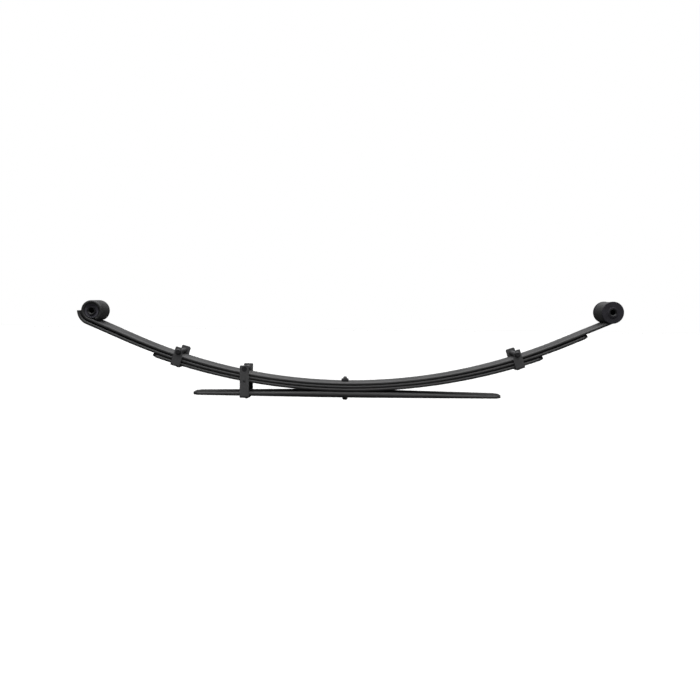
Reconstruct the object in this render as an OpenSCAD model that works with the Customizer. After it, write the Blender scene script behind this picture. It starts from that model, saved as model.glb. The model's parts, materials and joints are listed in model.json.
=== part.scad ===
// Semi-elliptic leaf spring for a pickup's rear axle: a main leaf with two upturned eyes,
// a second leaf that wraps the front eye, a third leaf, and a thick, nearly flat overload leaf.
// Origin: on the centre bolt's axis, in the seat face under the overload leaf.
// +X runs to the rear (shackle) eye, -X to the front (fixed) eye, +Z is up.
//
// A leaf bends along its whole length. Here each half of the three flexing leaves is cut in a
// middle, an inner and an outer length. The inner lengths turn about an inner flex axis and the
// outer ones about an outer flex axis, both just under the third leaf.

/* [Leaves] */
// Width of every leaf
leaf_w = 60; // [50:1:70]
// Thickness of the main, second and third leaves
leaf_t = 7.5; // [7:0.25:8]
// Radius of the rolled edge along both sides of a flexing leaf
edge_r = 4.25; // [4:0.25:6]
// Corner cut from the free ends of the leaves
tip_cut = 12; // [6:1:16]

/* [Front half] */
// Bend radius of the main leaf, front half
front_r = 1375; // [1300:5:1420]
// Slope of the main leaf's straight stretch at the front eye
front_deg = 23.2; // [21:0.1:26]
// Length of the straight stretch before the front eye
front_straight = 115; // [80:1:130]
// Gap between the main and second leaves under the front eye
front_gap = 3; // [1:0.25:3.5]
// Slope of the third leaf's front tip
third_front_deg = 19.4; // [18.5:0.1:20.5]

/* [Rear half] */
// Bend radius of the main leaf, rear half
rear_r = 1385; // [1300:5:1420]
// Slope of the main leaf's straight stretch at the rear eye
rear_deg = 23.1; // [21:0.1:26]
// Length of the straight stretch before the rear eye
rear_straight = 140; // [120:1:170]
// Length of the second leaf's straight stretch
second_straight = 53; // [45:1:80]
// Gap between the main and second leaves at the second leaf's tip
rear_gap = 2.5; // [1.5:0.25:4]
// Slope of the third leaf's rear tip
third_rear_deg = 19.8; // [18.5:0.1:20.5]
// Gap between the second and third leaves at the third leaf's tips
third_gap = 2.25; // [1.75:0.25:3.5]

/* [Overload leaf] */
// Thickness over the seat
overload_t = 16; // [14:0.5:17]
// Thickness at the tips
overload_tip_t = 7.25; // [6.5:0.25:9]
// Length of the front half
overload_front = 385; // [350:1:390]
// Length of the rear half
overload_rear = 394; // [350:1:400]
// Length of the flat seat
seat_len = 120; // [100:5:160]
// Rise of the underside from the seat to the tips
overload_rise = 2.25; // [0:0.25:4]

/* [Eyes and bushes] */
// Inside radius of both eyes
eye_r = 19; // [17:0.5:20]
// Bore radius of both inner sleeves
sleeve_bore_r = 6.2; // [5.2:0.1:7.2]
// Outside radius of both inner sleeves
sleeve_r = 10; // [9:0.25:11]
// Running clearance between a sleeve and its rubber
sleeve_gap = 0.05; // [0.02:0.01:0.1]
// Radius of the rear bush's rubber flanges
flange_r = 27.5; // [23:0.5:28]

/* [Clamps] */
// Strap thickness
strap_t = 4.5; // [4:0.25:5]
// Strap width
strap_w = 23; // [20:1:26]
// Clearance between a strap and a leaf's edge, each side
strap_gap = 1; // [0.75:0.25:1.5]
// Place of the front clamp, measured from the centre bolt
front_clamp_x = 426; // [400:1:435]
// Place of the rear clamp, measured from the centre bolt
rear_clamp_x = 437; // [400:1:445]
// Place of the tall overload clamp, measured forward from the centre bolt
overload_clamp_x = 253; // [235:1:265]
// Radius of the cross bolts
cross_bolt_r = 4; // [3.5:0.25:4.5]

/* [Centre bolt] */
// Radius of the shank
bolt_r = 5; // [4.5:0.25:5.5]
// Radius of the round locating head
bolt_head_r = 6.75; // [6.5:0.25:7.5]
// Height of the locating head below the seat
bolt_head_h = 8.5; // [8:0.5:12]

/* [Flex axes] */
// Distance of the inner flex axes from the centre bolt
inner_flex_x = 100; // [95:1:110]
// Distance of the outer flex axes from the centre bolt
outer_flex_x = 300; // [290:1:310]
// Slit between the lengths of a leaf at each flex axis
flex_slit = 0.3; // [0.2:0.05:0.5]

/* [Hidden] */

FRONT = -1;
REAR = 1;
arc_fn = 720;
round_fn = 64;

steel_black = "#3a3b3e";
clamp_black = "#424346";
bolt_grey = "#55575c";
tube_grey = "#8d9094";
rubber_black = "#2c2b31";

eye_mid_r = eye_r + leaf_t / 2;
eye_sweep = 311;
wrap_mid_r = eye_mid_r + leaf_t + front_gap;
wrap_end_deg = 91;

strap_inner = leaf_w + 2 * strap_gap;
strap_outer = strap_inner + 2 * strap_t;
bolt_hole_r = bolt_r + 0.25;
rivet_r = 4;
rivet_head_r = 7.5;
rivet_head_h = 6;
spacer_r = 5.5;
cross_head_r = 7.25;
cross_head_h = 4.5;
cross_nut_h = 6.5;
// Heights over the pack of the ears' tops and of the cross bolts
ear_h = 19;
tall_ear_h = 17;
cross_h = 8;
// The cross bolts of the front and rear clamps stand this far outward of the rivets
cross_out = 1;
// Radius of the tall clamp's flush bolt head
flush_head_r = 6.5;
side_hole_r = 3.3;
side_hole_z = 37;
side_hole_depth = 3;

nut_h = 7.5;
spot_depth = 0.2;
// Clearance where two pieces of one body only just don't touch
hair = 0.05;

pad_r = 13;
pad_inset = 20;

shell_t = 1.5;
rubber_bore_r = sleeve_r + sleeve_gap;
flange_t = 4;
ring_h = 1.3;
front_sleeve_len = leaf_w + 2;
rear_sleeve_len = leaf_w + 2 * (flange_t + ring_h) + 1;

// A half leaf is [height of its mid surface over the seat, bend radius, slope at the end of the
// bend, length of the straight after it].
function next_r(r, gap, deg) = r + leaf_t + gap / (1 - cos(deg));
main_z = overload_t + 2.5 * leaf_t;
second_z = main_z - leaf_t;
third_z = second_z - leaf_t;
main_front = [main_z, front_r, front_deg, front_straight];
main_rear = [main_z, rear_r, rear_deg, rear_straight];
// The second leaf's front straight ends square below the eye, as the main leaf's does
second_front_r = next_r(front_r, front_gap, front_deg);
second_front = [second_z, second_front_r, front_deg,
    front_straight - (second_front_r - front_r - leaf_t) * sin(front_deg)];
second_rear = [second_z, next_r(rear_r, rear_gap, rear_deg), rear_deg, second_straight];
third_front = [third_z, next_r(second_front_r, third_gap, third_front_deg), third_front_deg, 0];
third_rear = [third_z, next_r(second_rear[1], third_gap, third_rear_deg), third_rear_deg, 0];

// Everything below is in half-leaf coordinates: x runs outward from the centre bolt.
function centre_z(leaf) = leaf[0] + leaf[1];
function slope_at(leaf, x) = x < leaf[1] * sin(leaf[2]) ? asin(x / leaf[1]) : leaf[2];
function mid_z(leaf, x) = let (a = slope_at(leaf, x))
    centre_z(leaf) - leaf[1] * cos(a) + (x - leaf[1] * sin(a)) * tan(a);
// A point at a distance above the mid surface, along the leaf's normal
function off_pt(leaf, x, up) = let (a = slope_at(leaf, x))
    [x - up * sin(a), mid_z(leaf, x) + up * cos(a)];
function bend_end(leaf) = [leaf[1] * sin(leaf[2]), centre_z(leaf) - leaf[1] * cos(leaf[2])];
function leaf_end(leaf) = bend_end(leaf) + leaf[3] * [cos(leaf[2]), sin(leaf[2])];
function eye_pt(leaf) = leaf_end(leaf) + eye_mid_r * [-sin(leaf[2]), cos(leaf[2])];
// Height of a leaf's underside over a point below it, along the leaf's normal
function gap_over(leaf, p) = let (dx = p[0], dz = centre_z(leaf) - p[1])
    (atan2(dx, dz) < leaf[2] ? norm([dx, dz]) : dx * sin(leaf[2]) + dz * cos(leaf[2]))
    - leaf[1] - leaf_t / 2;

// A flex axis lies just under the third leaf, and each leaf is cut on its radial plane through
// that axis, so the lengths part from each other as the outward one turns down.
function flex_pt(third, x) = off_pt(third, x, -leaf_t / 2 - flex_slit);
function cut_deg(leaf, third, x) = let (p = flex_pt(third, x))
    atan2(p[0], centre_z(leaf) - p[1]);
function slit_deg(leaf) = flex_slit / leaf[1] * 180 / PI;

function overload_top(x) = let (tip = x < 0 ? overload_front : overload_rear)
    overload_t - (overload_t - overload_tip_t - overload_rise)
    * max(0, abs(x) - seat_len / 2) / (tip - seat_len / 2);
function overload_under(x) = let (tip = x < 0 ? overload_front : overload_rear)
    overload_rise * max(0, abs(x) - seat_len / 2) / (tip - seat_len / 2);
overload_deg = atan2(overload_rise, overload_front - seat_len / 2);

second_pad_x = leaf_end(second_rear)[0] - pad_inset;
third_front_pad_x = leaf_end(third_front)[0] - pad_inset;
third_rear_pad_x = leaf_end(third_rear)[0] - pad_inset;

// Height of everything a clamp holds, from the underside of its lowest leaf
function pack_h(main, third, x) = gap_over(main, off_pt(third, x, -leaf_t / 2)) + leaf_t;
front_pack_h = pack_h(main_front, third_front, front_clamp_x);
rear_pack_h = pack_h(main_rear, third_rear, rear_clamp_x);
tall_pack_h = off_pt(main_front, overload_clamp_x, leaf_t / 2)[1]
    - overload_under(-overload_clamp_x);

// ---- placing ----

module half(side) {
    mirror([side == FRONT ? 1 : 0, 0, 0]) children();
}

// Local frame on a half leaf: x outward along it, z along its normal
module on_leaf(leaf, x, up) {
    p = off_pt(leaf, x, up);
    translate([p[0], 0, p[1]]) rotate([0, -slope_at(leaf, x), 0]) children();
}

// Local frame at an eye, z towards the near side (-Y)
module at_eye(leaf) {
    p = eye_pt(leaf);
    translate([p[0], 0, p[1]]) rotate([90, 0, 0]) children();
}

// Local frame on the overload leaf's underside, at the tall clamp
module at_overload_clamp() {
    translate([-overload_clamp_x, 0, overload_under(-overload_clamp_x)])
        rotate([0, overload_deg, 0]) children();
}

// ---- leaves ----

// Cross-section of a flexing leaf: x is its thickness, y its width
module leaf_section() {
    intersection() {
        square([leaf_t, leaf_w], center = true);
        union() {
            square([leaf_t, leaf_w - 2 * edge_r], center = true);
            for (s = [-1, 1])
                translate([0, s * (leaf_w / 2 - edge_r)]) circle(r = edge_r, $fn = round_fn);
        }
    }
}

// Bar swept about the Y axis, from straight under it outwards
module bar_bend(r, sweep_deg) {
    rotate([90, 0, 0]) rotate([0, 0, -90]) rotate_extrude(angle = sweep_deg, $fn = arc_fn)
        translate([r, 0]) leaf_section();
}

module bar_straight(length) {
    rotate([0, 90, 0]) linear_extrude(height = length) leaf_section();
}

// Local frame at the end of a half leaf's bend: x runs along the straight, z along the normal
module at_bend_end(leaf) {
    translate([0, 0, centre_z(leaf)]) rotate([0, -leaf[2], 0]) translate([0, 0, -leaf[1]])
        children();
}

module leaf_middle(front, rear, third_f, third_r) {
    difference() {
        union() {
            half(FRONT) translate([0, 0, centre_z(front)])
                bar_bend(front[1], cut_deg(front, third_f, inner_flex_x));
            half(REAR) translate([0, 0, centre_z(rear)])
                bar_bend(rear[1], cut_deg(rear, third_r, inner_flex_x));
        }
        translate([0, 0, front[0]])
            cylinder(r = bolt_hole_r, h = 2 * leaf_t, center = true, $fn = round_fn);
    }
}

// The length of a half leaf between its two flex axes
module leaf_inner(leaf, third) {
    start = cut_deg(leaf, third, inner_flex_x) + slit_deg(leaf);
    translate([0, 0, centre_z(leaf)]) rotate([0, -start, 0])
        bar_bend(leaf[1], cut_deg(leaf, third, outer_flex_x) - start);
}

// The length beyond the outer flex axis, then an optional roll about the eye at its far end
module leaf_outer(leaf, third, roll_r = 0, roll_deg = 0) {
    at_bend_end(leaf) {
        translate([0, 0, leaf[1]]) mirror([1, 0, 0]) bar_bend(leaf[1],
            leaf[2] - cut_deg(leaf, third, outer_flex_x) - slit_deg(leaf));
        if (leaf[3] > 0) bar_straight(leaf[3]);
        if (roll_r > 0) translate([leaf[3], 0, roll_r]) bar_bend(roll_r, roll_deg);
    }
}

// Cutters for the two corners of a free end, at a point on the leaf's end
module corner_cuts(end, deg) {
    for (s = [-1, 1])
        translate([end[0], s * leaf_w / 2, end[1]]) rotate([0, -deg, 0]) rotate([0, 0, 45])
            cube([tip_cut * sqrt(2), tip_cut * sqrt(2), 4 * leaf_t], center = true);
}

module rivet_hole(leaf, x) {
    on_leaf(leaf, x, 0) cylinder(r = rivet_r, h = 2 * leaf_t, center = true, $fn = round_fn);
}

module main_leaf_seat() {
    color(steel_black) leaf_middle(main_front, main_rear, third_front, third_rear);
}

module second_leaf_seat() {
    color(steel_black) leaf_middle(second_front, second_rear, third_front, third_rear);
}

module third_leaf_seat() {
    color(steel_black) leaf_middle(third_front, third_rear, third_front, third_rear);
}

module main_leaf_front_inner() {
    color(steel_black) half(FRONT) leaf_inner(main_front, third_front);
}

module second_leaf_front_inner() {
    color(steel_black) half(FRONT) leaf_inner(second_front, third_front);
}

module third_leaf_front_inner() {
    color(steel_black) half(FRONT) leaf_inner(third_front, third_front);
}

module main_leaf_rear_inner() {
    color(steel_black) leaf_inner(main_rear, third_rear);
}

module second_leaf_rear_inner() {
    color(steel_black) leaf_inner(second_rear, third_rear);
}

module third_leaf_rear_inner() {
    color(steel_black) leaf_inner(third_rear, third_rear);
}

module main_leaf_front() {
    color(steel_black) half(FRONT) leaf_outer(main_front, third_front, eye_mid_r, eye_sweep);
}

module main_leaf_rear() {
    color(steel_black) leaf_outer(main_rear, third_rear, eye_mid_r, eye_sweep);
}

module second_leaf_front() {
    color(steel_black) half(FRONT)
        leaf_outer(second_front, third_front, wrap_mid_r, wrap_end_deg - front_deg);
}

module second_leaf_rear() {
    color(steel_black) difference() {
        leaf_outer(second_rear, third_rear);
        corner_cuts(leaf_end(second_rear), second_rear[2]);
        rivet_hole(second_rear, second_pad_x);
    }
}

module third_leaf_front() {
    color(steel_black) half(FRONT) difference() {
        leaf_outer(third_front, third_front);
        corner_cuts(leaf_end(third_front), third_front[2]);
        rivet_hole(third_front, third_front_pad_x);
        rivet_hole(third_front, front_clamp_x);
    }
}

module third_leaf_rear() {
    color(steel_black) difference() {
        leaf_outer(third_rear, third_rear);
        corner_cuts(leaf_end(third_rear), third_rear[2]);
        rivet_hole(third_rear, third_rear_pad_x);
        rivet_hole(third_rear, rear_clamp_x);
    }
}

module overload_leaf() {
    half_seat = seat_len / 2;
    spot_r = bolt_head_r + 1;
    pip_x = -27;
    pip_r = 3.5;
    pip_h = 2;
    color(steel_black) difference() {
        union() {
            rotate([90, 0, 0]) linear_extrude(height = leaf_w, center = true)
                polygon([
                    [-overload_front, overload_under(-overload_front)],
                    [-half_seat, 0],
                    [half_seat, 0],
                    [overload_rear, overload_under(overload_rear)],
                    [overload_rear, overload_top(overload_rear)],
                    [half_seat, overload_t],
                    [-half_seat, overload_t],
                    [-overload_front, overload_top(-overload_front)]
                ]);
            translate([pip_x, 0, -pip_h]) cylinder(r = pip_r, h = 2 * pip_h, $fn = round_fn);
        }
        translate([0, 0, -1]) cylinder(r = bolt_hole_r, h = overload_t + 2, $fn = round_fn);
        translate([0, 0, -1]) cylinder(r = spot_r, h = 1 + spot_depth, $fn = round_fn);
        at_overload_clamp()
            cylinder(r = rivet_r, h = 3 * overload_t, center = true, $fn = round_fn);
        corner_cuts([overload_rear, overload_t / 2], 0);
        corner_cuts([-overload_front, overload_t / 2], 0);
    }
}

// ---- tip pads ----

// Round pad on a leaf, with a peg pressed in the leaf's hole. The leaf curves up a little
// across the pad, and the leaf above bulges down on it, so both faces keep that much clear.
module tip_pad(leaf, above, x) {
    crown = pad_r * pad_r / (2 * leaf[1]) + hair / 2;
    gap = gap_over(above, off_pt(leaf, x, leaf_t / 2));
    on_leaf(leaf, x, leaf_t / 2) {
        translate([0, 0, crown]) cylinder(r = pad_r, h = gap - 2 * crown, $fn = round_fn);
        translate([0, 0, 0.5 - leaf_t]) cylinder(r = rivet_r, h = leaf_t, $fn = round_fn);
    }
}

module second_leaf_rear_pad() {
    color(rubber_black) tip_pad(second_rear, main_rear, second_pad_x);
}

module third_leaf_front_pad() {
    color(rubber_black) half(FRONT) tip_pad(third_front, second_front, third_front_pad_x);
}

module third_leaf_rear_pad() {
    color(rubber_black) tip_pad(third_rear, second_rear, third_rear_pad_x);
}

// ---- centre bolt ----

module centre_bolt() {
    taper_h = 2.5;
    nose_r = 5;
    top = main_z + leaf_t / 2 + nut_h + 5;
    color(bolt_grey) rotate_extrude($fn = round_fn) polygon([
        [0, -bolt_head_h], [nose_r, -bolt_head_h], [bolt_head_r, taper_h - bolt_head_h],
        [bolt_head_r, spot_depth], [bolt_r, spot_depth], [bolt_r, top - 3],
        [bolt_r - 2, top], [0, top]
    ]);
}

// Hexagon nut standing on its plain face, with a chamfered top
module hex_nut(across, h, bore) {
    corner = across / 2 / cos(30);
    chamfer = corner - across / 2;
    difference() {
        intersection() {
            cylinder(r = corner, h = h, $fn = 6);
            rotate_extrude($fn = round_fn)
                polygon([[0, -1], [corner + 1, -1], [corner + 1, h - chamfer * 1.6],
                    [across / 2 - 0.6, h], [0, h]]);
        }
        translate([0, 0, -1]) cylinder(r = bore, h = h + 2, $fn = round_fn);
    }
}

module centre_bolt_nut() {
    color(bolt_grey) translate([0, 0, main_z + leaf_t / 2 + hair]) hex_nut(16, nut_h, bolt_r);
}

// ---- clamps ----

// Every clamp is drawn in its local frame: x along the leaf, z up from the underside of the
// lowest leaf it holds, so the strap's base lies at z = -strap_t to 0.

module strap_outline(height) {
    bend_r = strap_t + 1;
    half_w = strap_outer / 2;
    difference() {
        union() {
            translate([-half_w, bend_r - strap_t]) square([strap_outer, height - bend_r + strap_t]);
            translate([bend_r - half_w, -strap_t]) square([strap_outer - 2 * bend_r, bend_r]);
            for (s = [-1, 1])
                translate([s * (half_w - bend_r), bend_r - strap_t])
                    circle(r = bend_r, $fn = round_fn);
        }
        translate([-strap_inner / 2, 0]) square([strap_inner, height + 1]);
    }
}

// One ear of a strap seen from the near side. Its top is cut by inner on the side of the centre
// bolt and by outer on the other side, from the height cut_z upwards.
module ear_outline(height, cut_z, inner, outer) {
    rotate([90, 0, 0]) linear_extrude(height = strap_outer / 2 + 1)
        polygon([
            [-strap_w, -strap_t - 1], [strap_w, -strap_t - 1], [strap_w, cut_z],
            [strap_w / 2, cut_z], [strap_w / 2 - outer, height], [inner - strap_w / 2, height],
            [-strap_w / 2, cut_z], [-strap_w, cut_z]
        ]);
}

// U-shaped strap with a rivet hole in its base and a bolt hole through its ears. The children
// are the outlines of its near and far ears.
module strap(height, bolt_x, bolt_z) {
    difference() {
        intersection() {
            rotate([90, 0, 90]) linear_extrude(height = strap_w, center = true)
                strap_outline(height);
            union() {
                children(0);
                mirror([0, 1, 0]) children(1);
            }
        }
        translate([bolt_x, 0, bolt_z]) rotate([90, 0, 0])
            cylinder(r = cross_bolt_r + 0.2, h = strap_outer + 2, center = true, $fn = round_fn);
        cylinder(r = rivet_r, h = 4 * strap_t, center = true, $fn = round_fn);
    }
}

module rivet(grip) {
    dome_r = (rivet_head_r * rivet_head_r + rivet_head_h * rivet_head_h) / (2 * rivet_head_h);
    intersection() {
        translate([0, 0, dome_r - rivet_head_h - strap_t]) sphere(r = dome_r, $fn = round_fn);
        translate([0, 0, -rivet_head_h - strap_t]) cylinder(r = dome_r, h = rivet_head_h);
    }
    translate([0, 0, -strap_t]) cylinder(r = rivet_r, h = strap_t + grip, $fn = round_fn);
}

// Cross bolt along Y with its round head on the near side (-Y)
module cross_bolt() {
    half_w = strap_outer / 2;
    tail = half_w + cross_nut_h + 3;
    rotate([90, 0, 0]) rotate_extrude($fn = round_fn) polygon([
        [0, -tail], [cross_bolt_r - 1, -tail], [cross_bolt_r, 1 - tail], [cross_bolt_r, half_w],
        [cross_head_r, half_w], [cross_head_r, half_w + cross_head_h - 2],
        [cross_head_r - 2, half_w + cross_head_h], [0, half_w + cross_head_h]
    ]);
}

// Cross bolt whose countersunk head lies flush in the near ear
module flush_bolt() {
    half_w = strap_outer / 2;
    tail = half_w + cross_nut_h + 3;
    rotate([90, 0, 0]) rotate_extrude($fn = round_fn) polygon([
        [0, -tail], [cross_bolt_r - 1, -tail], [cross_bolt_r, 1 - tail],
        [cross_bolt_r, half_w - flush_head_r + cross_bolt_r], [flush_head_r, half_w], [0, half_w]
    ]);
}

module cross_nut() {
    translate([0, strap_outer / 2, 0]) rotate([-90, 0, 0])
        hex_nut(13, cross_nut_h, cross_bolt_r);
}

module spacer() {
    rotate([90, 0, 0]) difference() {
        cylinder(r = spacer_r, h = strap_inner - 2 * hair, center = true, $fn = round_fn);
        cylinder(r = cross_bolt_r + 0.15, h = strap_inner, center = true, $fn = round_fn);
    }
}

// The front and rear clamps are riveted under the third leaf
module at_clamp(side, third, x) {
    half(side) on_leaf(third, x, -leaf_t / 2) children();
}

module at_front_bolt() {
    at_clamp(FRONT, third_front, front_clamp_x)
        translate([cross_out, 0, front_pack_h + cross_h]) children();
}

module at_rear_bolt() {
    at_clamp(REAR, third_rear, rear_clamp_x)
        translate([cross_out, 0, rear_pack_h + cross_h]) children();
}

module at_overload_bolt() {
    at_overload_clamp() translate([0, 0, tall_pack_h + cross_h]) children();
}

// Strap of the front and rear clamps: the near ear's inner edge is cut back by near_cut at its
// top, and the far ear is nearly square
module rebound_strap(held_h, near_cut) {
    height = held_h + ear_h;
    strap(height, cross_out, held_h + cross_h) {
        ear_outline(height, held_h - 2, near_cut, 1);
        ear_outline(height, height - 3, 3, 2);
    }
}

module front_clamp() {
    color(clamp_black) at_clamp(FRONT, third_front, front_clamp_x)
        rebound_strap(front_pack_h, 9);
}

module front_clamp_rivet() {
    color(clamp_black) at_clamp(FRONT, third_front, front_clamp_x) rivet(leaf_t);
}

module front_clamp_bolt() {
    color(bolt_grey) at_front_bolt() cross_bolt();
}

module front_clamp_nut() {
    color(bolt_grey) at_front_bolt() cross_nut();
}

module front_clamp_spacer() {
    color(tube_grey) at_front_bolt() spacer();
}

module rear_clamp() {
    color(clamp_black) at_clamp(REAR, third_rear, rear_clamp_x)
        rebound_strap(rear_pack_h, 12);
}

module rear_clamp_rivet() {
    color(clamp_black) at_clamp(REAR, third_rear, rear_clamp_x) rivet(leaf_t);
}

module rear_clamp_bolt() {
    color(bolt_grey) at_rear_bolt() cross_bolt();
}

module rear_clamp_nut() {
    color(bolt_grey) at_rear_bolt() cross_nut();
}

module rear_clamp_spacer() {
    color(tube_grey) at_rear_bolt() spacer();
}

// The tall clamp is riveted under the overload leaf and bridges the whole pack
module overload_clamp() {
    height = tall_pack_h + tall_ear_h;
    color(clamp_black) at_overload_clamp() difference() {
        strap(height, 0, tall_pack_h + cross_h) {
            ear_outline(height, height - 1.5, 1.5, 1.5);
            ear_outline(height, height - 1.5, 1.5, 1.5);
        }
        for (s = [-1, 1])
            translate([0, s * (strap_outer / 2 - side_hole_depth), side_hole_z])
                rotate([s * -90, 0, 0])
                cylinder(r = side_hole_r, h = side_hole_depth + 1, $fn = round_fn);
        translate([0, -strap_outer / 2, tall_pack_h + cross_h]) rotate([-90, 0, 0])
            cylinder(r1 = flush_head_r + 0.2, r2 = 0, h = flush_head_r + 0.2, $fn = round_fn);
    }
}

module overload_clamp_rivet() {
    grip = overload_top(-overload_clamp_x) - overload_under(-overload_clamp_x) - hair * 2;
    color(clamp_black) at_overload_clamp() rivet(grip);
}

module overload_clamp_bolt() {
    color(bolt_grey) at_overload_bolt() flush_bolt();
}

module overload_clamp_nut() {
    color(bolt_grey) at_overload_bolt() cross_nut();
}

module overload_clamp_spacer() {
    color(tube_grey) at_overload_bolt() spacer();
}

// ---- bushes ----

module front_bush_shell() {
    shell_len = leaf_w - 2;
    color(bolt_grey) half(FRONT) at_eye(main_front) difference() {
        cylinder(r = eye_r, h = shell_len, center = true, $fn = round_fn);
        cylinder(r = eye_r - shell_t, h = shell_len + 2, center = true, $fn = round_fn);
    }
}

module front_bush_rubber() {
    rim = leaf_w / 2 - 1.5;
    floor = leaf_w / 2 - 6;
    groove_r = rubber_bore_r + 1.5;
    color(rubber_black) half(FRONT) at_eye(main_front) rotate_extrude($fn = round_fn)
        polygon([
            [rubber_bore_r, -floor], [groove_r, -floor], [eye_r - shell_t, -rim],
            [eye_r - shell_t, rim], [groove_r, floor], [rubber_bore_r, floor]
        ]);
}

// Inner sleeve of a given length, its two mouths countersunk
module bush_sleeve(length) {
    mouth_r = sleeve_r - 1.5;
    mouth_h = mouth_r - sleeve_bore_r;
    rotate_extrude($fn = round_fn) polygon([
        [sleeve_bore_r, mouth_h - length / 2], [mouth_r, -length / 2],
        [sleeve_r, -length / 2], [sleeve_r, length / 2],
        [mouth_r, length / 2], [sleeve_bore_r, length / 2 - mouth_h]
    ]);
}

module front_bush_sleeve() {
    color(bolt_grey) half(FRONT) at_eye(main_front) bush_sleeve(front_sleeve_len);
}

// Flanged half of the rear rubber bush, pushed in the eye from the near side
module rear_bush_half() {
    middle = 0.2;
    face = leaf_w / 2 + 0.1;
    ring_r = 12.5;
    color(rubber_black) rotate_extrude($fn = round_fn) polygon([
        [rubber_bore_r, middle], [eye_r, middle], [eye_r, face], [flange_r - 1, face],
        [flange_r, face + 1], [flange_r, face + flange_t - 1], [flange_r - 1, face + flange_t],
        [ring_r + 1, face + flange_t], [ring_r, face + flange_t + ring_h],
        [rubber_bore_r, face + flange_t + ring_h]
    ]);
}

module rear_bush_near() {
    at_eye(main_rear) rear_bush_half();
}

module rear_bush_far() {
    at_eye(main_rear) rotate([180, 0, 0]) rear_bush_half();
}

module rear_bush_sleeve() {
    color(bolt_grey) at_eye(main_rear) bush_sleeve(rear_sleeve_len);
}

overload_leaf();
main_leaf_seat();
second_leaf_seat();
third_leaf_seat();
centre_bolt();
centre_bolt_nut();
overload_clamp();
overload_clamp_rivet();
overload_clamp_bolt();
overload_clamp_nut();
overload_clamp_spacer();
main_leaf_front_inner();
second_leaf_front_inner();
third_leaf_front_inner();
main_leaf_front();
second_leaf_front();
third_leaf_front();
third_leaf_front_pad();
front_clamp();
front_clamp_rivet();
front_clamp_bolt();
front_clamp_nut();
front_clamp_spacer();
front_bush_shell();
front_bush_rubber();
front_bush_sleeve();
main_leaf_rear_inner();
second_leaf_rear_inner();
third_leaf_rear_inner();
main_leaf_rear();
second_leaf_rear();
third_leaf_rear();
second_leaf_rear_pad();
third_leaf_rear_pad();
rear_clamp();
rear_clamp_rivet();
rear_clamp_bolt();
rear_clamp_nut();
rear_clamp_spacer();
rear_bush_near();
rear_bush_far();
rear_bush_sleeve();
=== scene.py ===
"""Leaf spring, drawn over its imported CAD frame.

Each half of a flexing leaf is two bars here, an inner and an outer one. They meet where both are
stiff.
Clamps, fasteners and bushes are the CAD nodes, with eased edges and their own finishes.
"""
import json
import math

import bmesh
import bpy
from mathutils import Matrix, Vector


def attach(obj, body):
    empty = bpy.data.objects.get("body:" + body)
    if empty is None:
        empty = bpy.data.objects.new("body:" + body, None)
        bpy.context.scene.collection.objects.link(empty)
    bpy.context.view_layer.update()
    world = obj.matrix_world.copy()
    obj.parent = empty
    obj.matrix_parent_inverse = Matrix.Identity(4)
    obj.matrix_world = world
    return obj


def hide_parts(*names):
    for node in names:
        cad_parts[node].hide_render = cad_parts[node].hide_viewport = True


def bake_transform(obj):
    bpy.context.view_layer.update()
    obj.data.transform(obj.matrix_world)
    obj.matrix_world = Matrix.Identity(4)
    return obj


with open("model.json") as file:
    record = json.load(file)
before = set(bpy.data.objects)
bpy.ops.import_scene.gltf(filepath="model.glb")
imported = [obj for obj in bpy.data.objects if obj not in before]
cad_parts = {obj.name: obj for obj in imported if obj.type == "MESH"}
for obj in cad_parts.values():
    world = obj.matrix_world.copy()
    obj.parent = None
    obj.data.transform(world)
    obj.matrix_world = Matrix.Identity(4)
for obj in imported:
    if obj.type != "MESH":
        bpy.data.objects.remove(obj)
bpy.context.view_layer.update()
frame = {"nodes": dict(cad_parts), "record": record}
nodes = frame["nodes"]

MM = 0.001
FRONT, REAR = -1, 1

# The part's own sizes, in millimetres and degrees
LEAF_W = 60
LEAF_T = 7.5
EDGE_RATIO = 4.25 / 7.5  # radius of a leaf's rolled long edges, as a share of its thickness
TIP_CUT = 12
MAIN_BEND = {FRONT: (1375, 23.2, 115), REAR: (1385, 23.1, 140)}  # radius, slope, straight length
SECOND_GAP = {FRONT: 3, REAR: 2.5}  # to the main leaf, where the bend ends
SECOND_STRAIGHT = 53  # at the rear only, as the front follows the main leaf
THIRD_DEG = {FRONT: 19.4, REAR: 19.8}
THIRD_GAP = 2.25  # to the second leaf, at the third leaf's tips
EYE_R = 19  # inside
EYE_SWEEP = 311  # how far the main leaf's roll goes round each eye
WRAP_END_DEG = 91  # slope where the second leaf's wrap round the front eye ends

OVERLOAD_T = 16
OVERLOAD_TIP_T = 7.25
OVERLOAD_RISE = 2.25  # of the underside, from the seat to the tips
OVERLOAD_REACH = {FRONT: 385, REAR: 394}
HALF_SEAT = 60  # the overload leaf isn't tapered over the seat

# Button under the overload leaf
PIP_X = -27
PIP_R = 3.5
PIP_H = 2

# Distance of the place between the flex axes where the two bars of a half leaf meet
MEETING = 200

# How finely the shapes are drawn, in millimetres and degrees or in steps
BEND_STEP = 9
ROLL_STEP_DEG = 5
EDGE_STEPS = 10
TAPER_STEPS = 12
SEAT_STEPS = 6
PIP_STEPS = 24

# Edges that turn by more than this are eased, over these widths in millimetres
CORNER_ANGLE = math.radians(28)
LEAF_EASE = 0.5
OVERLOAD_EASE = 0.8
# By material slot
HARDWARE_EASE = {"clamp_steel": 0.8, "fastener_steel": 0.4, "spacer_tube": 0.3,
                 "bush_steel": 0.25, "bush_rubber": 0.5, "pad_rubber": 0.2}


# ---- bars ----

def spaced(start, end, count):
    """Evenly spaced values after start, the last of them being end."""
    return [start + (end - start) * i / count for i in range(1, count + 1)]


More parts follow.
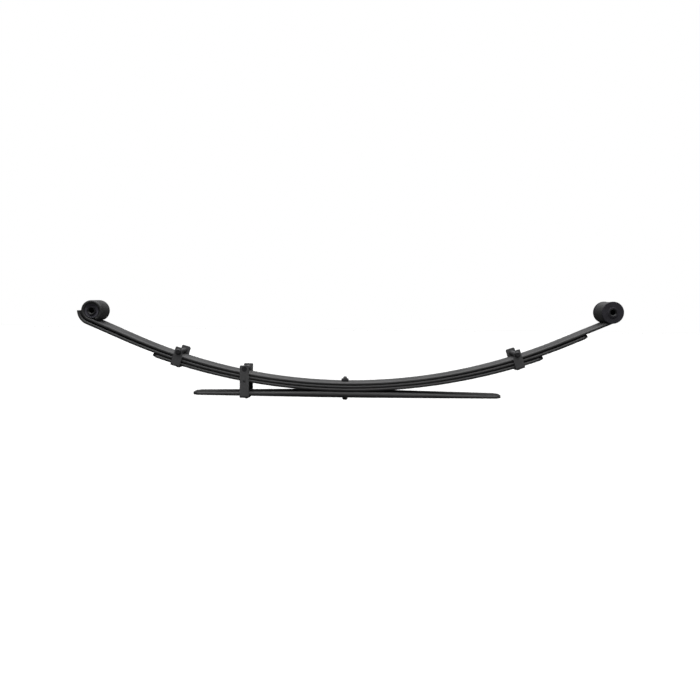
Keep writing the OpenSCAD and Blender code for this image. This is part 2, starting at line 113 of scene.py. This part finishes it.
def edge_profile(half_w, thick):
    """Points (across, up) round a bar's section, whose two long sides are rolled to an arc."""
    radius = thick * EDGE_RATIO
    spread = math.asin(thick / 2 / radius)
    side = [(half_w - radius + radius * math.cos(a), radius * math.sin(a))
            for a in (spread * (2 * i / EDGE_STEPS - 1) for i in range(EDGE_STEPS + 1))]
    return side + [(-y, -up) for y, up in side]


def bar(name, stations, butted=()):
    """Closed bar through stations (x, z, angle, half width, thickness), in millimetres.

    Its corners are marked for easing. The butted ends, 0 for the first and -1 for the last, meet
    the next bar of the same leaf, so they stay sharp and no seam shows.
    """
    bm = bmesh.new()
    rings = []
    for x, z, angle, half_w, thick in stations:
        s, c = math.sin(angle), math.cos(angle)
        rings.append([bm.verts.new(((x - up * s) * MM, y * MM, (z + up * c) * MM))
                      for y, up in edge_profile(half_w, thick)])
    join_rings(bm, rings)
    caps = {0: bm.faces.new(rings[0][::-1]), -1: bm.faces.new(rings[-1])}
    bmesh.ops.recalc_face_normals(bm, faces=bm.faces)
    weight = mark_corners(bm)
    for end in butted:
        for edge in caps[end].edges:
            edge[weight] = 0
            edge.smooth = False
    return new_object(name, bm)


def join_rings(bm, rings):
    """Faces between each ring of vertices and the next."""
    count = len(rings[0])
    for a, b in zip(rings, rings[1:]):
        for i in range(count):
            j = (i + 1) % count
            bm.faces.new((a[i], a[j], b[j], b[i]))


def mark_corners(bm):
    """Gives every corner edge the weight that ease_edges rounds, and returns the weights' layer."""
    weight = bm.edges.layers.float.new("bevel_weight_edge")
    for edge in bm.edges:
        edge[weight] = edge.calc_face_angle(0) > CORNER_ANGLE
    return weight


def new_object(name, bm):
    """Smooth-shaded object from a finished bmesh."""
    mesh = bpy.data.meshes.new(name)
    bm.to_mesh(mesh)
    bm.free()
    for face in mesh.polygons:
        face.use_smooth = True
    return add_to_scene(name, mesh)


def add_to_scene(name, data):
    """Object that holds a mesh, light or camera."""
    obj = bpy.data.objects.new(name, data)
    bpy.context.scene.collection.objects.link(obj)
    return obj


def ease_edges(obj, width, marked=False):
    """Rounds an object's corners, or only those that mark_corners chose."""
    bevel = obj.modifiers.new("eased_edges", "BEVEL")
    bevel.width = width * MM
    bevel.segments = 2
    bevel.limit_method = "WEIGHT" if marked else "ANGLE"
    bevel.angle_limit = CORNER_ANGLE
    bevel.harden_normals = True


# ---- flexing leaves ----

def half_leaf(mid_z, radius, deg, straight, roll=None, cut_tip=False):
    """Stations of a half leaf from the centre bolt outwards. roll is (radius, sweep) in degrees."""
    slope = math.radians(deg)
    bend = [0, *spaced(0, slope, math.ceil(radius * slope / BEND_STEP))]
    path = [(radius * math.sin(a), mid_z + radius * (1 - math.cos(a)), a) for a in bend]
    if straight:
        x, z, a = path[-1]
        path += [(x + straight * t * math.cos(a), z + straight * t * math.sin(a), a)
                 for t in spaced(0, 1, math.ceil(straight / BEND_STEP))]
    if roll:
        roll_r, sweep = roll
        x, z, a = path[-1]
        centre_x, centre_z = x - roll_r * math.sin(a), z + roll_r * math.cos(a)
        for turn in spaced(0, sweep, math.ceil(sweep / ROLL_STEP_DEG)):
            b = a + math.radians(turn)
            path.append((centre_x + roll_r * math.sin(b), centre_z - roll_r * math.cos(b), b))
    stations = [(x, z, a, LEAF_W / 2, LEAF_T) for x, z, a in path]
    if cut_tip:
        stations = cut_corners(stations)
    return stations


def cut_corners(stations):
    """Narrows the last stations of a bar as its two tip corners are cut at 45 degrees."""
    x, z, a, half_w, thick = stations[-1]
    # Stations closer to the tip than this give way to the cut's own three
    cleared = TIP_CUT + 1
    kept = [s for s in stations if math.hypot(s[0] - x, s[1] - z) > cleared]
    for back in (TIP_CUT, TIP_CUT / 2, 0):
        kept.append((x - back * math.cos(a), z - back * math.sin(a), a,
                     half_w - TIP_CUT + back, thick))
    return kept


def nested(radius, gap, deg):
    """Bend radius of the leaf below, which parts from this one by gap at that slope."""
    return radius + LEAF_T + gap / (1 - math.cos(math.radians(deg)))


def leaf_stations(side):
    """Stations of the main, second and third leaves on one side of the centre bolt."""
    radius, deg, straight = MAIN_BEND[side]
    # Mid-height of the main leaf, over the overload leaf and the two leaves below it
    main_z = OVERLOAD_T + 2.5 * LEAF_T
    roll_r = EYE_R + LEAF_T / 2
    main = half_leaf(main_z, radius, deg, straight, roll=(roll_r, EYE_SWEEP))
    second_r = nested(radius, SECOND_GAP[side], deg)
    if side == FRONT:
        # The second leaf's wider bend reaches further, so that its straight length is shorter
        further = (second_r - radius - LEAF_T) * math.sin(math.radians(deg))
        wrap = (roll_r + LEAF_T + SECOND_GAP[side], WRAP_END_DEG - deg)
        second = half_leaf(main_z - LEAF_T, second_r, deg, straight - further, roll=wrap)
    else:
        second = half_leaf(main_z - LEAF_T, second_r, deg, SECOND_STRAIGHT, cut_tip=True)
    third_r = nested(second_r, THIRD_GAP, THIRD_DEG[side])
    third = half_leaf(main_z - 2 * LEAF_T, third_r, THIRD_DEG[side], 0, cut_tip=True)
    return {"main_leaf": main, "second_leaf": second, "third_leaf": third}


def add_flexing_leaves():
    """Inner and outer bars of every half leaf.

    The two inner bars together cover a leaf's middle length, which is named as the front one's.
    """
    made = []
    for side, word in ((FRONT, "front"), (REAR, "rear")):
        for leaf, stations in leaf_stations(side).items():
            split = next(i for i, station in enumerate(stations) if station[0] > MEETING)
            node = f"{leaf}_{word}"
            inner = bar(f"{node}_inner_bar", stations[:split + 1], butted=(0, -1))
            outer = bar(f"{node}_outer_bar", stations[split:], butted=(0,))
            covers = [f"{node}_inner"] + ([f"{leaf}_seat"] if side == FRONT else [])
            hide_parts(*covers)
            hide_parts(node)
            finish_bar(inner, side)
            finish_bar(outer, side)
            made += [inner, outer]
    return made


def finish_bar(obj, side):
    """Takes a bar to its side and eases it."""
    if side == FRONT:
        obj.data.transform(Matrix.Diagonal((-1, 1, 1, 1)))
        obj.data.flip_normals()
    ease_edges(obj, LEAF_EASE, marked=True)
    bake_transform(obj)


# ---- overload leaf ----

def add_overload_leaf():
    """Leaf with a thick seat, which tapers towards both tips from above and below."""
    front, rear = OVERLOAD_REACH[FRONT], OVERLOAD_REACH[REAR]
    xs = [-front, -front + TIP_CUT / 2, -front + TIP_CUT]
    xs += spaced(-front + TIP_CUT, -HALF_SEAT, TAPER_STEPS)
    xs += spaced(-HALF_SEAT, HALF_SEAT, SEAT_STEPS)
    xs += spaced(HALF_SEAT, rear - TIP_CUT, TAPER_STEPS)
    xs += [rear - TIP_CUT / 2, rear]
    stations = []
    for x in xs:
        reach = front if x < 0 else rear
        out = max(0, abs(x) - HALF_SEAT) / (reach - HALF_SEAT)
        under = OVERLOAD_RISE * out
        top = OVERLOAD_T - (OVERLOAD_T - OVERLOAD_TIP_T - OVERLOAD_RISE) * out
        half_w = LEAF_W / 2 - max(0, TIP_CUT - (reach - abs(x)))
        stations.append((x, (under + top) / 2, 0, half_w, top - under))
    obj = bar("overload_leaf_bar", stations)
    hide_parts("overload_leaf")
    ease_edges(obj, OVERLOAD_EASE, marked=True)
    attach(obj, "seat")
    return obj


def add_overload_pip():
    """Low pressed button under the overload leaf: a lathed dome, rooted in the steel."""
    profile = [(PIP_R, PIP_H / 2), (PIP_R, -0.3 * PIP_H), (0.85 * PIP_R, -0.7 * PIP_H),
               (0.55 * PIP_R, -0.93 * PIP_H)]
    bm = bmesh.new()
    rings = []
    for radius, z in profile:
        turns = (math.tau * i / PIP_STEPS for i in range(PIP_STEPS))
        rings.append([bm.verts.new(((PIP_X + radius * math.cos(t)) * MM,
                                    radius * math.sin(t) * MM, z * MM)) for t in turns])
    join_rings(bm, rings)
    tip = bm.verts.new((PIP_X * MM, 0, -PIP_H * MM))
    for i in range(PIP_STEPS):
        bm.faces.new((rings[-1][i], rings[-1][(i + 1) % PIP_STEPS], tip))
    bm.faces.new(rings[0])
    bmesh.ops.recalc_face_normals(bm, faces=bm.faces)
    obj = new_object("overload_leaf_pip", bm)
    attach(obj, "seat")
    return obj


def ease_hardware():
    """Eases the CAD nodes that are shown as they are."""
    for part in frame["record"]["subparts"]:
        width = HARDWARE_EASE.get(part["material_slot"])
        if width:
            ease_edges(nodes[part["node"]], width)


# ---- finishes ----

def material(name):
    """New node material, with its tree and its shader."""
    mat = bpy.data.materials.new(name)
    mat.use_nodes = True
    tree = mat.node_tree
    return mat, tree, tree.nodes["Principled BSDF"]


def noise(tree, scale, detail, rough=0.55, stretch=(1, 1, 1)):
    """Noise over the object's own coordinates, in waves per metre."""
    coord = tree.nodes.new("ShaderNodeTexCoord")
    mapping = tree.nodes.new("ShaderNodeMapping")
    mapping.inputs["Scale"].default_value = stretch
    tex = tree.nodes.new("ShaderNodeTexNoise")
    tex.inputs["Scale"].default_value = scale
    tex.inputs["Detail"].default_value = detail
    tex.inputs["Roughness"].default_value = rough
    tree.links.new(coord.outputs["Object"], mapping.inputs["Vector"])
    tree.links.new(mapping.outputs["Vector"], tex.inputs["Vector"])
    return tex.outputs["Fac"]


def ramp(tree, value, stops):
    """Colour ramp with stops (position, grey or rgb)."""
    node = tree.nodes.new("ShaderNodeValToRGB")
    elements = node.color_ramp.elements
    while len(elements) < len(stops):
        elements.new(0.5)
    for element, (pos, colour) in zip(elements, stops):
        element.position = pos
        rgb = colour if isinstance(colour, tuple) else (colour,) * 3
        element.color = (*rgb, 1)
    tree.links.new(value, node.inputs["Fac"])
    return node.outputs["Color"]


def mixed(tree, first, second, share):
    """Mixes two values, with that share of the second."""
    mix = tree.nodes.new("ShaderNodeMix")
    mix.inputs["Factor"].default_value = share
    tree.links.new(first, mix.inputs["A"])
    tree.links.new(second, mix.inputs["B"])
    return mix.outputs["Result"]


def finish_surface(tree, shader, colour, rough, specular):
    """Colour and roughness from nodes, and one specular level."""
    tree.links.new(colour, shader.inputs["Base Color"])
    tree.links.new(rough, shader.inputs["Roughness"])
    shader.inputs["Specular IOR Level"].default_value = specular


def add_bump(tree, shader, height, strength, depth):
    """Bump from a height value, with its depth in millimetres."""
    bump = tree.nodes.new("ShaderNodeBump")
    bump.inputs["Strength"].default_value = strength
    bump.inputs["Distance"].default_value = depth * MM
    tree.links.new(height, bump.inputs["Height"])
    tree.links.new(bump.outputs["Normal"], shader.inputs["Normal"])


def painted(name, dark, light, rough, stretch=(1, 1, 1)):
    """Satin paint over peened steel: faint blotches and specks, and a fine orange-peel surface."""
    mat, tree, shader = material(name)
    blotch = noise(tree, scale=22, detail=5, stretch=stretch)
    speck = noise(tree, scale=260, detail=3, rough=0.65)
    mottle = mixed(tree, blotch, speck, share=0.45)
    start, end = 0.42, 0.58
    colour = ramp(tree, mottle, [(start, dark), (end, light)])
    roughness = ramp(tree, mottle, [(start, rough[0]), (end, rough[1])])
    finish_surface(tree, shader, colour, roughness, specular=0.5)
    coarse = noise(tree, scale=300, detail=2)
    fine = noise(tree, scale=1100, detail=2)
    add_bump(tree, shader, mixed(tree, coarse, fine, share=0.35), strength=0.9, depth=0.35)
    return mat


def rubber(name, dark, light):
    """Moulded rubber: matt, slightly cloudy."""
    mat, tree, shader = material(name)
    cloud = noise(tree, scale=60, detail=3)
    start, end = 0.35, 0.65
    colour = ramp(tree, cloud, [(start, dark), (end, light)])
    roughness = ramp(tree, cloud, [(start, 0.62), (end, 0.78)])
    finish_surface(tree, shader, colour, roughness, specular=0.35)
    add_bump(tree, shader, noise(tree, scale=1500, detail=2), strength=0.2, depth=0.08)
    return mat


def paint_everything(steel_pieces):
    """Paints each piece and CAD node by its slot. The front bush's rubber is a paler copy: painted
    light.
    """
    finishes = {
        "leaf_steel": painted("leaf_paint", (0.034, 0.034, 0.035), (0.050, 0.050, 0.051),
                              rough=(0.46, 0.60), stretch=(0.4, 1, 1)),
        "clamp_steel": painted("strap_paint", (0.078, 0.078, 0.080), (0.106, 0.106, 0.108),
                               rough=(0.48, 0.60)),
        "fastener_steel": painted("fastener_paint", (0.016, 0.016, 0.018), (0.026, 0.026, 0.028),
                                  rough=(0.44, 0.56)),
        "spacer_tube": painted("tube_paint", (0.046, 0.046, 0.047), (0.072, 0.072, 0.074),
                               rough=(0.42, 0.54)),
        "bush_steel": painted("bush_steel", (0.010, 0.010, 0.011), (0.020, 0.020, 0.022),
                              rough=(0.45, 0.55)),
        "bush_rubber": rubber("bush_rubber", (0.026, 0.024, 0.031), (0.040, 0.038, 0.047)),
        "pad_rubber": rubber("pad_rubber", (0.010, 0.010, 0.011), (0.015, 0.015, 0.016)),
    }
    finish_of = {part["node"]: finishes[part["material_slot"]]
                 for part in frame["record"]["subparts"]}
    # Painted light: the front bush's recessed face is shaded by its barrel, so its rubber is a
    # paler copy of the bush rubber, standing in for the front light it lacks
    finish_of["front_bush_rubber"] = rubber("front_rubber_painted_light", (0.070, 0.067, 0.082),
                                            (0.102, 0.098, 0.118))
    for obj in steel_pieces:
        obj.data.materials.append(finishes["leaf_steel"])
    for node, finish in finish_of.items():
        mesh = nodes[node].data
        mesh.materials.clear()
        mesh.materials.append(finish)


# ---- studio, in metres and degrees ----

FLOOR_REACH = 12
FLOOR_Z = -0.35

DOME_STRENGTH = 3.8
# Brightness of the dome from straight down (0) over the horizon (0.5) to straight up (1)
DOME_STOPS = [(0.40, 0.022), (0.49, 0.002), (0.58, 0.004), (0.79, 0.03), (0.90, 0.75), (1.0, 1.0)]

FILL_PLACE = (0.2, -2.4, 1.2)
FILL_TARGET = (0, 0, 0.1)
FILL_SIZE = (2.4, 0.8)
FILL_WATTS = 7

CAMERA_PLACE = (0.035, -1.780, 0.2455)
CAMERA_DOWN = 4.07
CAMERA_YAW = 0.75
CAMERA_ROLL = 0.636
# Lens and sensor, in millimetres
LENS = 36
SENSOR_W = 36


def add_floor():
    """Pale paper that the camera sees, and that neither lights the object nor reflects in it."""
    bm = bmesh.new()
    bmesh.ops.create_grid(bm, x_segments=4, y_segments=4, size=FLOOR_REACH)
    obj = new_object("floor", bm)
    obj.location.z = FLOOR_Z
    mat, tree, shader = material("floor_paper")
    shade = noise(tree, scale=0.6, detail=2)
    colour = ramp(tree, shade, [(0.3, 0.66), (0.7, 0.68)])
    tree.links.new(colour, shader.inputs["Base Color"])
    shader.inputs["Roughness"].default_value = 1.0
    shader.inputs["Specular IOR Level"].default_value = 0.0
    obj.data.materials.append(mat)
    obj.visible_diffuse = False
    obj.visible_glossy = False


def add_world():
    """White surround for the camera. What lights the object is a broad dome, as in a light tent
    with a dark table: bright above, nearly black at the horizon and faint from below."""
    world = bpy.data.worlds.new("studio")
    world.use_nodes = True
    tree = world.node_tree
    coord = tree.nodes.new("ShaderNodeTexCoord")
    split = tree.nodes.new("ShaderNodeSeparateXYZ")
    height = tree.nodes.new("ShaderNodeMapRange")
    height.inputs["From Min"].default_value = -1
    tree.links.new(coord.outputs["Generated"], split.inputs["Vector"])
    tree.links.new(split.outputs["Z"], height.inputs["Value"])
    dome = tree.nodes["Background"]
    dome.inputs["Strength"].default_value = DOME_STRENGTH
    tree.links.new(ramp(tree, height.outputs["Result"], DOME_STOPS), dome.inputs["Color"])
    surround = tree.nodes.new("ShaderNodeBackground")
    surround.inputs["Color"].default_value = (1, 1, 1, 1)
    path = tree.nodes.new("ShaderNodeLightPath")
    mix = tree.nodes.new("ShaderNodeMixShader")
    tree.links.new(path.outputs["Is Camera Ray"], mix.inputs["Fac"])
    tree.links.new(dome.outputs["Background"], mix.inputs[1])
    tree.links.new(surround.outputs["Background"], mix.inputs[2])
    tree.links.new(mix.outputs["Shader"], tree.nodes["World Output"].inputs["Surface"])
    bpy.context.scene.world = world


def add_front_fill():
    """Weak wide light from the front, which picks out the near faces."""
    data = bpy.data.lights.new("front_fill", "AREA")
    data.shape = "RECTANGLE"
    data.size, data.size_y = FILL_SIZE
    data.energy = FILL_WATTS
    obj = add_to_scene("front_fill", data)
    obj.location = FILL_PLACE
    aim = Vector(FILL_TARGET) - Vector(FILL_PLACE)
    obj.rotation_euler = aim.to_track_quat("-Z", "Y").to_euler()
    obj.visible_camera = False


def add_camera():
    """Camera in front of the spring, looking slightly down on it."""
    data = bpy.data.cameras.new("camera")
    data.lens = LENS
    data.sensor_width = SENSOR_W
    obj = add_to_scene("camera", data)
    obj.location = CAMERA_PLACE
    turn = (Matrix.Rotation(math.radians(CAMERA_YAW), 3, "Z")
            @ Matrix.Rotation(math.radians(90 - CAMERA_DOWN), 3, "X")
            @ Matrix.Rotation(math.radians(CAMERA_ROLL), 3, "Z"))
    obj.rotation_euler = turn.to_euler()
    bpy.context.scene.camera = obj


paint_everything(add_flexing_leaves() + [add_overload_leaf(), add_overload_pip()])
ease_hardware()
add_floor()
add_world()
add_front_fill()
add_camera()
bpy.context.scene.view_settings.view_transform = "Standard"
